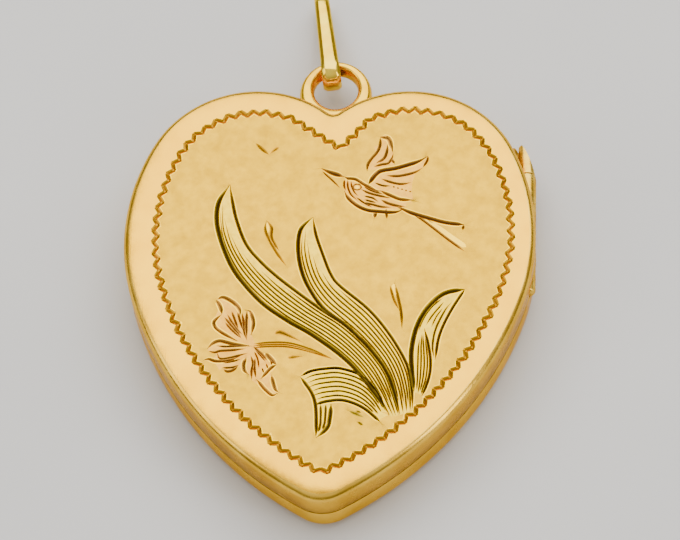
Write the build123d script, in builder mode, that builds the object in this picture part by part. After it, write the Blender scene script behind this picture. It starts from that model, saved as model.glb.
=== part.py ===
from build123d import *
from math import atan2, cos, degrees, radians, sin, sqrt, tan
import os

# A heart locket of rolled gold, in millimetres, lying on its back.
# +Z points out of the engraved front, +Y towards the cleft and the bail, +X towards the hinge.
# The origin is on the flat back, on the heart's axis and at its mid-height.

os.makedirs("parts", exist_ok=True)

# Heart outline: arcs that run smoothly into each other, for the right half
lobe_radius = 7.05
lobe_centre = Vector(4.72, 6.75)
flank_radius = 13.80
flank_start = 27.0
lower_flank_radius = 23.12
lower_flank_start = -18.6
cleft_radius = 0.53
tip_radius = 2.38

# Shells
total_height = 4.5
seam = total_height / 2
seam_gap = 0.02
wall = 0.4
back_edge_radius = 0.9
front_edge_radius = 0.5
border_width = 1.6
border_rise = 0.15
front_top_thickness = 0.6

# Hinge: five knuckles on one pin, along Y in the seam
hinge_x = 11.95
hinge_bottom = 0.6
hinge_top = 10.75
tube_radius = 0.55
pin_radius = 0.22
pin_running_gap = 0.03
pin_tight_gap = 0.005
knuckle_count = 5
knuckle_gap = 0.03
tube_clearance = 0.05
tube_end_radius = 0.3
hinge_file_radius = 7.95
relief_angle = 56.5
relief_bottom = -0.6
bearer_height = 0.9
bearer_inner_x = 10.2
bearer_file_radius = 7.6

# Snap rim inside the back shell, and the bead that holds the front shell shut
rim_bottom = 0.95
rim_rise = 0.6
rim_clearance = 0.06
rim_thickness = 0.29
rim_gap_bottom = -1.2
rim_gap_x = 10.0
bead_radius = 0.15
bead_proud = 0.04
dimple_radius = 0.2

# Ring in the cleft
ring_radius = 2.25
ring_y = 14.40
ring_hole_radius = 1.37
ring_hole_y = 14.70
ring_thickness = 1.3
ring_edge_radius = 0.25
cover_clearance = 0.06

# Bail: a tapered strap bent into a long loop through the ring
bail_offset = -0.40
bail_pivot_y = 16.30
bail_half_gap = 0.82
bail_thickness = 0.32
bail_low_end = 1.35
bail_high_end = 6.10
bail_width_low = 1.17
bail_width_high = 0.90
bail_lean = 8.0
bail_droop = 12.5

# Photograph frames, with a clear sheet over each photograph
sheet_gap = 0.02
photo_thickness = 0.18
glazing_thickness = 0.25
frame_band = 0.25
frame_lip = 1.1
frame_lip_thickness = 0.25
back_frame_inset = 0.80
front_frame_inset = 0.46


def polar(radius, angle):
    """Vector of a length and an angle in degrees."""
    return Vector(radius * cos(radians(angle)), radius * sin(radians(angle)))


def bearing(start, end):
    """Angle in degrees of the line from start to end."""
    return degrees(atan2(end.Y - start.Y, end.X - start.X))


def on_axis(centre, distance):
    """How far along Y a point on the heart's axis is from centre, at a distance."""
    return sqrt(distance**2 - centre.X**2)


flank_centre = lobe_centre + polar(lobe_radius - flank_radius, flank_start)
lower_flank_centre = flank_centre + polar(flank_radius - lower_flank_radius, lower_flank_start)
cleft_centre = Vector(0, lobe_centre.Y + on_axis(lobe_centre, lobe_radius + cleft_radius))
tip_centre = Vector(
    0, lower_flank_centre.Y - on_axis(lower_flank_centre, lower_flank_radius - tip_radius)
)


def heart(inset=0.0):
    """Filled heart whose outline is moved in from the shells' wall by inset."""
    lobe_end = bearing(lobe_centre, cleft_centre)
    tip_start = bearing(lower_flank_centre, tip_centre)
    with BuildSketch() as filled:
        with BuildLine():
            CenterArc(cleft_centre, cleft_radius + inset, -90, bearing(cleft_centre, lobe_centre) + 90)
            CenterArc(lobe_centre, lobe_radius - inset, flank_start, lobe_end - flank_start)
            CenterArc(
                flank_centre, flank_radius - inset, lower_flank_start, flank_start - lower_flank_start
            )
            CenterArc(
                lower_flank_centre, lower_flank_radius - inset, tip_start, lower_flank_start - tip_start
            )
            CenterArc(tip_centre, tip_radius - inset, -90, tip_start + 90)
            mirror(about=Plane.YZ)
        make_face()
    return filled.sketch


def across_hinge(y):
    """Plane across the hinge, whose normal is the hinge's axis."""
    return Plane(origin=(hinge_x, y, seam), x_dir=(1, 0, 0), z_dir=(0, 1, 0))


def hinge_beds(own):
    """Space that the knuckles take in a shell's wall: a snug bed under its own knuckles and a
    running gap round the others, with the wall bevelled outside the pin so that it can open."""
    upward = 1 if own == "front" else -1
    with BuildPart() as beds:
        for side, start, length in knuckles:
            radius = tube_radius if side == own else tube_radius + tube_clearance
            with BuildSketch(across_hinge(start - knuckle_gap)):
                Circle(radius)
            extrude(amount=length + 2 * knuckle_gap)
        with BuildSketch(across_hinge(relief_bottom)):
            with BuildLine():
                Polyline((0, 0), (1, 0), (1, -upward * tan(radians(relief_angle))), close=True)
            make_face()
        extrude(amount=hinge_top - relief_bottom)
    return beds.part


def save(name, piece):
    """Label a finished piece and write it."""
    piece.part.label = name
    export_step(piece.part, f"parts/{name}.step")


knuckle_pitch = (hinge_top - hinge_bottom) / knuckle_count
knuckles = [
    (
        "back" if index % 2 == 0 else "front",
        hinge_bottom + index * knuckle_pitch + knuckle_gap / 2,
        knuckle_pitch - knuckle_gap,
    )
    for index in range(knuckle_count)
]

# Back shell: a flat pan with a round edge and a bearer under the hinge's upper end
with BuildPart() as back_cavity:
    with BuildSketch(Plane.XY.offset(wall)):
        add(heart(wall))
    extrude(amount=seam)
    fillet(back_cavity.edges().group_by(Axis.Z)[0], back_edge_radius - wall)

bearer_bottom = hinge_top - knuckle_pitch
with BuildPart() as back_cover:
    with BuildSketch(Plane.XY):
        add(heart())
    extrude(amount=seam)
    fillet(back_cover.edges().group_by(Axis.Z)[0], back_edge_radius)
    with BuildSketch(Plane.XY.offset(seam - bearer_height)):
        with Locations(((bearer_inner_x + hinge_x) / 2, (bearer_bottom + hinge_top) / 2)):
            Rectangle(hinge_x - bearer_inner_x, hinge_top - bearer_bottom)
        with Locations(lobe_centre):
            Circle(bearer_file_radius, mode=Mode.INTERSECT)
    extrude(amount=bearer_height)
    add(back_cavity.part, mode=Mode.SUBTRACT)
    add(hinge_beds("back"), mode=Mode.SUBTRACT)
save("back_cover", back_cover)

# Front shell: a shallow border rises to the flat engraved panel
rim_face_x = flank_centre.X + flank_radius - wall - rim_clearance
bead_centre = (bead_radius - bead_proud - rim_face_x, flank_centre.Y, seam + rim_rise / 2)
front_bottom = seam + seam_gap
front_shoulder = total_height - border_rise
with BuildPart() as front_cover:
    with BuildSketch(Plane.XY.offset(front_bottom)):
        add(heart())
    extrude(amount=front_shoulder - front_bottom)
    fillet(front_cover.edges().group_by(Axis.Z)[-1], front_edge_radius)
    with BuildSketch(Plane.XY.offset(front_shoulder)):
        add(heart(front_edge_radius))
    with BuildSketch(Plane.XY.offset(total_height)):
        add(heart(border_width))
    loft(ruled=True)
    with BuildSketch(Plane.XY.offset(front_bottom)):
        add(heart(wall))
    extrude(amount=total_height - front_top_thickness - front_bottom, mode=Mode.SUBTRACT)
    with Locations(bead_centre):
        Sphere(dimple_radius, mode=Mode.SUBTRACT)
    add(hinge_beds("front"), mode=Mode.SUBTRACT)
save("front_cover", front_cover)

# Snap rim: soldered inside the back shell, standing up into the front one, open at the hinge
with BuildPart() as snap_rim:
    with BuildSketch(Plane.XY.offset(rim_bottom)):
        add(heart(wall))
    extrude(amount=seam - seam_gap - rim_bottom)
    with BuildSketch(Plane.XY.offset(seam - seam_gap)):
        add(heart(wall + rim_clearance))
    extrude(amount=seam_gap + rim_rise)
    with BuildSketch(Plane.XY.offset(rim_bottom)):
        add(heart(wall + rim_clearance + rim_thickness))
    extrude(amount=total_height, mode=Mode.SUBTRACT)
    with BuildSketch(Plane.XY.offset(rim_bottom)):
        with Locations((rim_gap_x, rim_gap_bottom)):
            Rectangle(hinge_x, hinge_top - rim_gap_bottom, align=Align.MIN)
    extrude(amount=total_height, mode=Mode.SUBTRACT)
    with Locations(bead_centre):
        Sphere(bead_radius, mode=Mode.SUBTRACT)
save("snap_rim", snap_rim)

with BuildPart() as catch_bead:
    with Locations(bead_centre):
        Sphere(bead_radius)
save("catch_bead", catch_bead)

# The space that is left of the hinge once its upper end is filed round, in line with the lobe
with BuildPart() as filed_hinge:
    with BuildSketch(Plane.XY):
        with Locations(lobe_centre):
            Circle(hinge_file_radius)
            Rectangle(2 * hinge_file_radius, 2 * hinge_file_radius, align=(Align.CENTER, Align.MAX))
    extrude(amount=total_height)

# Hinge knuckles: the back shell holds the pin, the front shell's knuckles turn on it
places = {"back": ["lower", "middle", "upper"], "front": ["lower", "upper"]}
for side, start, length in knuckles:
    place = places[side].pop(0)
    with BuildPart() as knuckle:
        with BuildSketch(across_hinge(start)):
            Circle(tube_radius)
        extrude(amount=length)
        if start < hinge_bottom + knuckle_pitch / 2:
            fillet(knuckle.edges().group_by(Axis.Y)[0], tube_end_radius)
        add(filed_hinge.part, mode=Mode.INTERSECT)
        with BuildSketch(across_hinge(start)):
            Circle(pin_radius + (pin_tight_gap if side == "back" else pin_running_gap))
        extrude(amount=length, mode=Mode.SUBTRACT)
    save(f"{side}_knuckle_{place}", knuckle)

with BuildPart() as hinge_pin:
    with BuildSketch(across_hinge(hinge_bottom + knuckle_gap)):
        Circle(pin_radius)
    extrude(amount=hinge_top - hinge_bottom)
    add(filed_hinge.part, mode=Mode.INTERSECT)
save("hinge_pin", hinge_pin)

# Ring: soldered to the back shell in the cleft, clear of the front shell
with BuildPart() as bail_ring:
    with BuildSketch(Plane.XY.offset(seam - ring_thickness / 2)):
        with Locations((0, ring_y)):
            Circle(ring_radius)
        with Locations((0, ring_hole_y)):
            Circle(ring_hole_radius, mode=Mode.SUBTRACT)
    extrude(amount=ring_thickness)
    fillet(bail_ring.edges().filter_by(GeomType.CIRCLE), ring_edge_radius)
    with BuildSketch(Plane.XY):
        add(heart())
    extrude(amount=seam, mode=Mode.SUBTRACT)
    with BuildSketch(Plane.XY.offset(seam)):
        add(heart(-cover_clearance))
    extrude(amount=seam, mode=Mode.SUBTRACT)
save("bail_ring", bail_ring)

# Bail: x of its planes runs along the strap, from the ring outwards
bail_along = Vector(
    -sin(radians(bail_lean)) * cos(radians(bail_droop)),
    cos(radians(bail_lean)) * cos(radians(bail_droop)),
    -sin(radians(bail_droop)),
)
bail_across = Vector(cos(radians(bail_lean)), sin(radians(bail_lean)), 0)
bail_pivot = (bail_offset, bail_pivot_y, seam)
bail_side = Plane(origin=bail_pivot, x_dir=bail_along, z_dir=bail_across)
bail_face = Plane(origin=bail_pivot, x_dir=bail_along, z_dir=bail_across.cross(bail_along))
bail_half_height = bail_half_gap + bail_thickness
bail_middle = (bail_high_end - bail_low_end) / 2
with BuildPart() as bail:
    with BuildSketch(bail_side):
        with Locations((bail_middle, 0)):
            SlotOverall(bail_high_end + bail_low_end, 2 * bail_half_height)
            SlotOverall(
                bail_high_end + bail_low_end - 2 * bail_thickness,
                2 * bail_half_gap,
                mode=Mode.SUBTRACT,
            )
    extrude(amount=bail_width_low, both=True)
    with BuildSketch(bail_face):
        with BuildLine():
            Polyline(
                (-bail_low_end, -bail_width_low / 2),
                (bail_high_end, -bail_width_high / 2),
                (bail_high_end, bail_width_high / 2),
                (-bail_low_end, bail_width_low / 2),
                close=True,
            )
        make_face()
    extrude(amount=2 * bail_half_height, both=True, mode=Mode.INTERSECT)
save("bail", bail)

# Each shell holds a blank photograph, a clear sheet and the frame that presses them in
frame_sets = [
    ("back", wall, 1, back_frame_inset),
    ("front", total_height - front_top_thickness, -1, front_frame_inset),
]
for side, base, inward, band_inset in frame_sets:
    sheet_inset = band_inset + frame_band + sheet_gap
    photo_level = base + inward * sheet_gap
    glazing_level = photo_level + inward * (photo_thickness + sheet_gap)
    lip_level = glazing_level + inward * (glazing_thickness + sheet_gap)
    with BuildPart() as photo:
        with BuildSketch(Plane.XY.offset(photo_level)):
            add(heart(sheet_inset))
        extrude(amount=inward * photo_thickness)
    save(f"{side}_photo", photo)
    with BuildPart() as glazing:
        with BuildSketch(Plane.XY.offset(glazing_level)):
            add(heart(sheet_inset))
        extrude(amount=inward * glazing_thickness)
    save(f"{side}_glazing", glazing)
    with BuildPart() as frame:
        with BuildSketch(Plane.XY.offset(photo_level)):
            add(heart(band_inset))
            add(heart(band_inset + frame_band), mode=Mode.SUBTRACT)
        extrude(amount=lip_level - photo_level)
        with BuildSketch(Plane.XY.offset(lip_level)):
            add(heart(band_inset))
            add(heart(band_inset + frame_lip), mode=Mode.SUBTRACT)
        extrude(amount=inward * frame_lip_thickness)
    save(f"{side}_frame", frame)
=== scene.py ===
from math import atan2, ceil, cos, degrees, pi, radians, sin, sqrt, tan
from random import Random

import bpy
import numpy as np
from mathutils import Matrix, Vector, geometry


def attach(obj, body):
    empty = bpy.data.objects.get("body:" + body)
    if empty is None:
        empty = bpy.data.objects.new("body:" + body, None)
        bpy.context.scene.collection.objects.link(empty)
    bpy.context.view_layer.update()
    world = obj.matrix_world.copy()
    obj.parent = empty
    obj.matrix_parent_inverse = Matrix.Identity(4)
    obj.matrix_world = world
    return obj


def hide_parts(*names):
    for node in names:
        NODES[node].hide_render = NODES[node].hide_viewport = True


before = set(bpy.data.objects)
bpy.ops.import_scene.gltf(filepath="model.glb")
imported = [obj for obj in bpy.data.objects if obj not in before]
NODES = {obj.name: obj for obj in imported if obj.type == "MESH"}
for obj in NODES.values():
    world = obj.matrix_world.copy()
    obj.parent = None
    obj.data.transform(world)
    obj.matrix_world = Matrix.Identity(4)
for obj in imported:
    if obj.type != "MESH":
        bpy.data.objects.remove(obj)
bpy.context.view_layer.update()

# A heart locket of rolled gold, lying on its back on a pale floor.
# Meshes are laid out in millimetres and scaled to metres when a piece is finished.
MM = 0.001

# Shells
SEAM = 2.25
SEAM_GAP = 0.02
HEIGHT = 4.5
WALL = 0.4
SHOULDER = 0.5
SHOULDER_TURN = 75
SHOULDER_CENTRE_Z = 3.852
TOP_EDGE_INSET = SHOULDER * (1 - cos(radians(SHOULDER_TURN)))
PANEL_INSET = 1.6
BORDER_CURVE = 0.1089
CEILING = 3.9
BACK_ROUND = 0.9
EDGE_WEAR = 0.05
BURR_HEIGHT = 0.010
BURR_SHOWS = 0.05
TOP_FACES_ABOVE = 4.25
CAVITY_FACES_ABOVE = 0.3
FACE_MARGIN = 0.1
EDGE_TINT = (1.0, 0.78, 0.44, 1)

# Hinge
HINGE_X = 11.95
HINGE_BOTTOM = 0.6
KNUCKLE_PITCH = 2.03
KNUCKLE_GAP = 0.03
TUBE = 0.55
TUBE_CLEARANCE = 0.05
PIN = 0.22
PIN_CLEARANCE = {"back": 0.005, "front": 0.03}
OPENING_BEVEL = 56.5
BEARER_BOTTOM_Y = 8.72
BEARER_TOP_Y = 10.74
FILED_RADIUS = 7.95

# Ring in the cleft
RING_HOLE_Y = 14.70
RING_OUTER_Y = 14.40
RING_HOLE = 1.37
RING_OUTER = 2.25
RING_HALF_HEIGHT = 0.65
RING_SQUARENESS = 0.74

# Bail
BAIL_PIVOT = (-0.40, 16.30, SEAM)
BAIL_BELOW_PIVOT = 1.35
BAIL_ABOVE_PIVOT = 6.10
BAIL_HALF_THICKNESS = 0.16
BAIL_LEG_OFFSET = 0.98
BAIL_WIDTH_LOW = 1.17
BAIL_WIDTH_HIGH = 0.90
BAIL_LEAN = 8
BAIL_DROOP = 12.5

# Zigzag border
ZIGZAG_PITCH = 0.78
ZIGZAG_REACH = 0.16
ZIGZAG_CORNER = (0.5, 9.45)

# Camera: target in millimetres, angles in degrees, distance in metres
CAMERA_TARGET = (0.615, 2.201, 2.4)
CAMERA_AZIMUTH = 7.71
CAMERA_ELEVATION = 62.841
CAMERA_ROLL = -6.76
CAMERA_DISTANCE = 0.22192
CAMERA_LENS = 193.2


# ---------------------------------------------------------------- outline

def polar(radius, angle):
    return Vector((radius * cos(radians(angle)), radius * sin(radians(angle))))


def bearing(start, end):
    return degrees(atan2(end.y - start.y, end.x - start.x))


LOBE = Vector((4.72, 6.75))
FLANK = LOBE + polar(7.05 - 13.80, 27.0)
LOWER = FLANK + polar(13.80 - 23.12, -18.6)
CLEFT = Vector((0, LOBE.y + sqrt((7.05 + 0.53) ** 2 - LOBE.x**2)))
TIP = Vector((0, LOWER.y - sqrt((23.12 - 2.38) ** 2 - LOWER.x**2)))
TIP_START = bearing(LOWER, TIP)

# Right half from the tip to the cleft: centre, radius, first and last angle, steps, and 1 where
# the outline bulges outwards or -1 where it turns in
ARCS = [
    (TIP, 2.38, -90, TIP_START, 8, 1),
    (LOWER, 23.12, TIP_START, -18.6, 56, 1),
    (FLANK, 13.80, -18.6, 27.0, 40, 1),
    (LOBE, 7.05, 27.0, bearing(LOBE, CLEFT), 52, 1),
    (CLEFT, 0.53, bearing(CLEFT, LOBE), -90, 8, -1),
]


def outline_samples():
    """Arc centre, radius, side and outward direction for each point of the closed outline."""
    half = []
    for centre, radius, first, last, steps, side in ARCS:
        end = steps + 1 if side < 0 else steps
        for i in range(end):
            angle = first + (last - first) * i / steps
            ray = polar(1, angle)
            half.append((centre.x, centre.y, radius, side, ray.x, ray.y))
    mirrored = [(-cx, cy, r, side, -ux, uy) for cx, cy, r, side, ux, uy in reversed(half[1:-1])]
    return np.array(half + mirrored)


OUTLINE = outline_samples()


def heart_ring(inset):
    """Points of the outline moved in by inset, one number or one for each point."""
    reach = OUTLINE[:, 2] - OUTLINE[:, 3] * inset
    return OUTLINE[:, 0:2] + reach[:, None] * OUTLINE[:, 4:6]


def inset_at(points):
    """How far in from the outline each point is."""
    x, y = np.abs(points[:, 0]), points[:, 1]
    found = np.full(len(points), 9.0)
    for centre, radius, first, last, _, side in ARCS:
        low, high = min(first, last) - 1e-4, max(first, last) + 1e-4
        dx, dy = x - centre.x, y - centre.y
        angle = np.degrees(np.arctan2(dy, dx))
        inset = side * (radius - np.hypot(dx, dy))
        found = np.where((angle >= low) & (angle <= high) & (inset < found), inset, found)
    return found


def top_height(inset):
    """Height of the front above an inset: a border that eases into the flat panel."""
    return HEIGHT - BORDER_CURVE * np.maximum(0, PANEL_INSET - inset) ** 2


# ---------------------------------------------------------------- mesh tools

def mesh_object(name, verts, faces):
    mesh = bpy.data.meshes.new(name)
    mesh.from_pydata([tuple(v) for v in verts], [], faces)
    mesh.validate()
    obj = bpy.data.objects.new(name, mesh)
    bpy.context.scene.collection.objects.link(obj)
    return obj


def stitch(rings, closed):
    """Faces between rings of equal length that are numbered one after another."""
    count = len(rings[0])
    faces = []
    last = len(rings) if closed else len(rings) - 1
    for k in range(last):
        a, b = k * count, ((k + 1) % len(rings)) * count
        for i in range(count):
            j = (i + 1) % count
            faces.append((a + i, a + j, b + j, b + i))
    return faces


def heart_rings(profile):
    """One ring of 3-D points for each (inset, z) of a profile."""
    rings = []
    for inset, z in profile:
        flat = heart_ring(inset)
        rings.append([(x, y, z) for x, y in flat])
    return rings


def lathe(name, section, bored=True, segments=72):
    """Piece turned round the hinge's axis from (y, radius) points. Bored, the points are its whole
    closed section. Otherwise they are its outside, and it is solid with flat ends."""
    rings = []
    for y, radius in section:
        ring = []
        for i in range(segments):
            turn = 2 * pi * i / segments
            ring.append((HINGE_X + radius * cos(turn), y, SEAM + radius * sin(turn)))
        rings.append(ring)
    faces = stitch(rings, closed=bored)
    if not bored:
        total = segments * len(rings)
        faces += [tuple(range(segments)), tuple(range(total - segments, total))]
    return mesh_object(name, sum(rings, []), faces)


def prism(name, outline, low, high, axis="z"):
    """Solid between two levels of an outline: (x, y) along z, or (x, z) along y."""
    count = len(outline)
    levels = []
    for level in (low, high):
        for a, b in outline:
            levels.append((a, b, level) if axis == "z" else (a, level, b))
    faces = [tuple(reversed(range(count))), tuple(range(count, 2 * count))]
    for i in range(count):
        j = (i + 1) % count
        faces.append((i, j, count + j, count + i))
    return mesh_object(name, levels, faces)


def outward(obj):
    """Turn every face outwards."""
    bpy.context.view_layer.objects.active = obj
    obj.select_set(True)
    bpy.ops.object.mode_set(mode="EDIT")
    bpy.ops.mesh.select_all(action="SELECT")
    bpy.ops.mesh.normals_make_consistent(inside=False)
    bpy.ops.object.mode_set(mode="OBJECT")
    obj.select_set(False)


def freeze(obj):
    """Replace a piece's mesh by what its modifiers make of it."""
    graph = bpy.context.evaluated_depsgraph_get()
    made = bpy.data.meshes.new_from_object(obj.evaluated_get(graph))
    obj.modifiers.clear()
    obj.data = made


def carve(obj, cutter, operation="DIFFERENCE"):
    """Cut, join or intersect a piece with a cutter, which is then gone."""
    outward(cutter)
    change = obj.modifiers.new("carve", "BOOLEAN")
    change.operation = operation
    change.solver = "EXACT"
    change.object = cutter
    bpy.context.view_layer.update()
    freeze(obj)
    bpy.data.objects.remove(cutter)


def bevel(obj, width, segments=2, angle=35):
    change = obj.modifiers.new("wear", "BEVEL")
    change.width = width
    change.segments = segments
    change.limit_method = "ANGLE"
    change.angle_limit = radians(angle)
    bpy.context.view_layer.update()
    freeze(obj)


def finish_piece(obj, body, nodes, materials, sharp=30, paint=None):
    """Scale a piece to metres, smooth it, paint it and tie it to the frame. Paint gives the number
    of each face's material."""
    mesh = obj.data
    mesh.transform(Matrix.Scale(MM, 4))
    for polygon in mesh.polygons:
        polygon.use_smooth = True
    mesh.set_sharp_from_angle(angle=radians(sharp))
    for material in materials:
        mesh.materials.append(material)
    if paint is not None:
        mesh.polygons.foreach_set("material_index", paint)
    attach(obj, body)
    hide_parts(*nodes)
    return obj


# ---------------------------------------------------------------- materials

def wire(tree, source, target):
    tree.links.new(source, target)


def noise(tree, coords, scale, detail=3.0, stretch=None, turn=0.0, rough=0.5):
    """Noise over the piece's own coordinates, stretched and turned about z if asked."""
    source = coords
    if stretch:
        mapping = tree.nodes.new("ShaderNodeMapping")
        mapping.inputs["Scale"].default_value = stretch
        mapping.inputs["Rotation"].default_value = (0, 0, radians(turn))
        wire(tree, coords, mapping.inputs["Vector"])
        source = mapping.outputs["Vector"]
    made = tree.nodes.new("ShaderNodeTexNoise")
    made.inputs["Scale"].default_value = scale
    made.inputs["Detail"].default_value = detail
    made.inputs["Roughness"].default_value = rough
    wire(tree, source, made.inputs["Vector"])
    return made.outputs["Fac"]


def ramp(tree, source, stops):
    made = tree.nodes.new("ShaderNodeValToRGB")
    elements = made.color_ramp.elements
    while len(elements) < len(stops):
        elements.new(0.5)
    for element, (place, colour) in zip(elements, stops):
        element.position = place
        element.color = (*colour, 1)
    wire(tree, source, made.inputs["Fac"])
    return made.outputs["Color"]


def spread(tree, source, low, high, out_low, out_high):
    made = tree.nodes.new("ShaderNodeMapRange")
    for key, value in (
        ("From Min", low), ("From Max", high), ("To Min", out_low), ("To Max", out_high)
    ):
        made.inputs[key].default_value = value
    wire(tree, source, made.inputs["Value"])
    return made.outputs["Result"]


def bump(tree, height, strength, distance, under=None):
    made = tree.nodes.new("ShaderNodeBump")
    made.inputs["Strength"].default_value = strength
    made.inputs["Distance"].default_value = distance * MM
    wire(tree, height, made.inputs["Height"])
    if under:
        wire(tree, under, made.inputs["Normal"])
    return made.outputs["Normal"]


def new_material(name):
    material = bpy.data.materials.new(name)
    material.use_nodes = True
    tree = material.node_tree
    shader = tree.nodes["Principled BSDF"]
    coords = tree.nodes.new("ShaderNodeTexCoord").outputs["Object"]
    return material, tree, shader, coords


def scratches(tree, coords, strength, depth, under):
    """Two families of fine hairlines that cross."""
    normal = under
    for turn, across in ((24, 5200), (-51, 4300)):
        line = noise(tree, coords, 1.0, 2.0, (across, 260, 900), turn)
        cut = ramp(tree, line, [(0.60, (0, 0, 0)), (0.68, (1, 1, 1))])
        normal = bump(tree, cut, strength, depth, normal)
    return normal


def gold(name, bright, deep, rough, grain=0.25, hairlines=0.12, mottle=700, drawn=0.0):
    """Gold with cloudy colour, uneven polish, fine grain and hairline scratches, and where
    drawn isn't 0 with lines along the wall."""
    material, tree, shader, coords = new_material(name)
    shader.inputs["Metallic"].default_value = 1.0
    shader.inputs["Specular Tint"].default_value = EDGE_TINT
    cloud = noise(tree, coords, mottle, 4.0)
    wire(tree, ramp(tree, cloud, [(0.34, deep), (0.62, bright)]), shader.inputs["Base Color"])
    polish = noise(tree, coords, mottle * 2.3, 3.0)
    wire(tree, spread(tree, polish, 0.3, 0.7, *rough), shader.inputs["Roughness"])
    normal = bump(tree, noise(tree, coords, 14000, 2.0), grain, 0.006)
    normal = bump(tree, noise(tree, coords, 900, 2.0), grain, 0.012, normal)
    normal = scratches(tree, coords, hairlines, 0.004, normal)
    if drawn:
        lines = noise(tree, coords, 1.0, 3.0, (130, 130, 7000), 0, 0.7)
        normal = bump(tree, lines, drawn, 0.010, normal)
    wire(tree, normal, shader.inputs["Normal"])
    return material


def cut_gold(name, crest, floor_shade, rough, depth=0.075):
    """Gold of an engraved cut with painted shade: darker where it runs deep."""
    material, tree, shader, coords = new_material(name)
    shader.inputs["Metallic"].default_value = 1.0
    shader.inputs["Specular Tint"].default_value = EDGE_TINT
    split = tree.nodes.new("ShaderNodeSeparateXYZ")
    wire(tree, coords, split.inputs["Vector"])
    level = spread(tree, split.outputs["Z"], (HEIGHT - depth) * MM, HEIGHT * MM, 0, 1)
    wire(tree, ramp(tree, level, [(0.25, floor_shade), (0.95, crest)]), shader.inputs["Base Color"])
    wear = noise(tree, coords, 2600, 3.0)
    wire(tree, spread(tree, wear, 0.3, 0.7, *rough), shader.inputs["Roughness"])
    chatter = noise(tree, coords, 9000, 3.0)
    wire(tree, bump(tree, chatter, 0.35, 0.008), shader.inputs["Normal"])
    return material


def celluloid():
    material, tree, shader, coords = new_material("celluloid")
    shader.inputs["Alpha"].default_value = 0.28
    shader.inputs["IOR"].default_value = 1.5
    tint = ramp(
        tree, noise(tree, coords, 260, 2.0), [(0.3, (0.80, 0.58, 0.28)), (0.7, (0.90, 0.72, 0.42))]
    )
    wire(tree, tint, shader.inputs["Base Color"])
    haze = noise(tree, coords, 1800, 3.0)
    wire(tree, spread(tree, haze, 0.3, 0.7, 0.05, 0.16), shader.inputs["Roughness"])
    wire(tree, scratches(tree, coords, 0.2, 0.004, None), shader.inputs["Normal"])
    return material


def photo_paper():
    material, tree, shader, coords = new_material("photo_paper")
    shader.inputs["Roughness"].default_value = 0.75
    cloud = noise(tree, coords, 210, 4.0)
    stain = ramp(tree, cloud, [(0.35, (0.80, 0.52, 0.22)), (0.66, (0.92, 0.68, 0.36))])
    wire(tree, stain, shader.inputs["Base Color"])
    fibre = noise(tree, coords, 6500, 4.0)
    wire(tree, bump(tree, fibre, 0.4, 0.01), shader.inputs["Normal"])
    return material


SATIN = gold("satin_gold", (0.75, 0.43, 0.002), (0.63, 0.35, 0.001), (0.35, 0.47), 0.8, 0.14, 1100)
POLISHED = gold("polished_gold", (1.0, 0.53, 0.008), (0.93, 0.475, 0.004), (0.15, 0.26), 0.18, 0.2, 500)
SIDE = gold("side_gold", (0.95, 0.58, 0.060), (0.76, 0.43, 0.030), (0.16, 0.30), 0.18, 0.3, 480, 0.5)
LEAF_RIDGE = gold("green_gold", (0.84, 0.56, 0.020), (0.68, 0.44, 0.010), (0.22, 0.32), 0.5, 0.12, 2600)
ROSE_RIDGE = gold("rose_gold", (0.76, 0.395, 0.040), (0.66, 0.32, 0.022), (0.26, 0.38), 0.5, 0.12, 2600)
# Cut golds with painted shade, darkest at the floor of each cut
LEAF_CUT = cut_gold("leaf_cut", (0.56, 0.36, 0.012), (0.075, 0.047, 0.003), (0.28, 0.42))
ROSE_CUT = cut_gold("rose_cut", (0.62, 0.29, 0.030), (0.13, 0.058, 0.013), (0.25, 0.38))
PLAIN_CUT = cut_gold("plain_cut", (0.76, 0.38, 0.004), (0.17, 0.078, 0.002), (0.25, 0.38))
EDGE_CUT = cut_gold("zigzag_cut", (0.78, 0.39, 0.003), (0.34, 0.15, 0.002), (0.22, 0.36), 0.09)
# Paler, glossier gold for painted highlights on burrs, bud heads, the eye and the tail
HIGHLIGHT_GOLD = gold("painted_highlight_gold", (1.0, 0.63, 0.025), (0.96, 0.57, 0.012), (0.14, 0.22), 0.15, 0.05)
SEAM_SHADE = gold("seam_shade", (0.26, 0.13, 0.010), (0.10, 0.05, 0.004), (0.30, 0.50), 0.5, 0.1, 2500)
RING_GOLD = gold("ring_gold", (1.0, 0.62, 0.024), (0.84, 0.47, 0.010), (0.16, 0.30), 0.3, 0.3, 900)
# Gold of the bail, made paler than the ring's as a painted highlight for the strong light on it
BAIL_HIGHLIGHT_GOLD = gold("bail_gold", (1.0, 0.71, 0.060), (0.96, 0.60, 0.030), (0.10, 0.22), 0.2, 0.35, 900)
HINGE_GOLD = gold("hinge_gold", (0.90, 0.61, 0.09), (0.66, 0.36, 0.02), (0.20, 0.36), 0.45, 0.4, 1100)
INNER_GOLD = gold("inner_gold", (0.90, 0.56, 0.045), (0.80, 0.46, 0.022), (0.14, 0.26), 0.15, 0.2, 600)
CELLULOID = celluloid()
PAPER = photo_paper()


# ---------------------------------------------------------------- engraving

LINES = []


def spline(points, step=0.16):
    """Catmull-Rom curve through the points, sampled about every step."""
    pts = [Vector(p) for p in points]
    if len(pts) == 2:
        count = max(2, ceil((pts[1] - pts[0]).length / step))
        return [pts[0].lerp(pts[1], i / count) for i in range(count + 1)]
    padded = [2 * pts[0] - pts[1], *pts, 2 * pts[-1] - pts[-2]]
    curve = []
    for a, b, c, d in zip(padded, padded[1:], padded[2:], padded[3:]):
        count = max(2, ceil((c - b).length / step))
        for i in range(count):
            t = i / count
            curve.append(
                0.5 * (2 * b + (c - a) * t + (2 * a - 5 * b + 4 * c - d) * t**2
                       + (3 * b - a - 3 * c + d) * t**3)
            )
    curve.append(pts[-1])
    return curve


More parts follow.
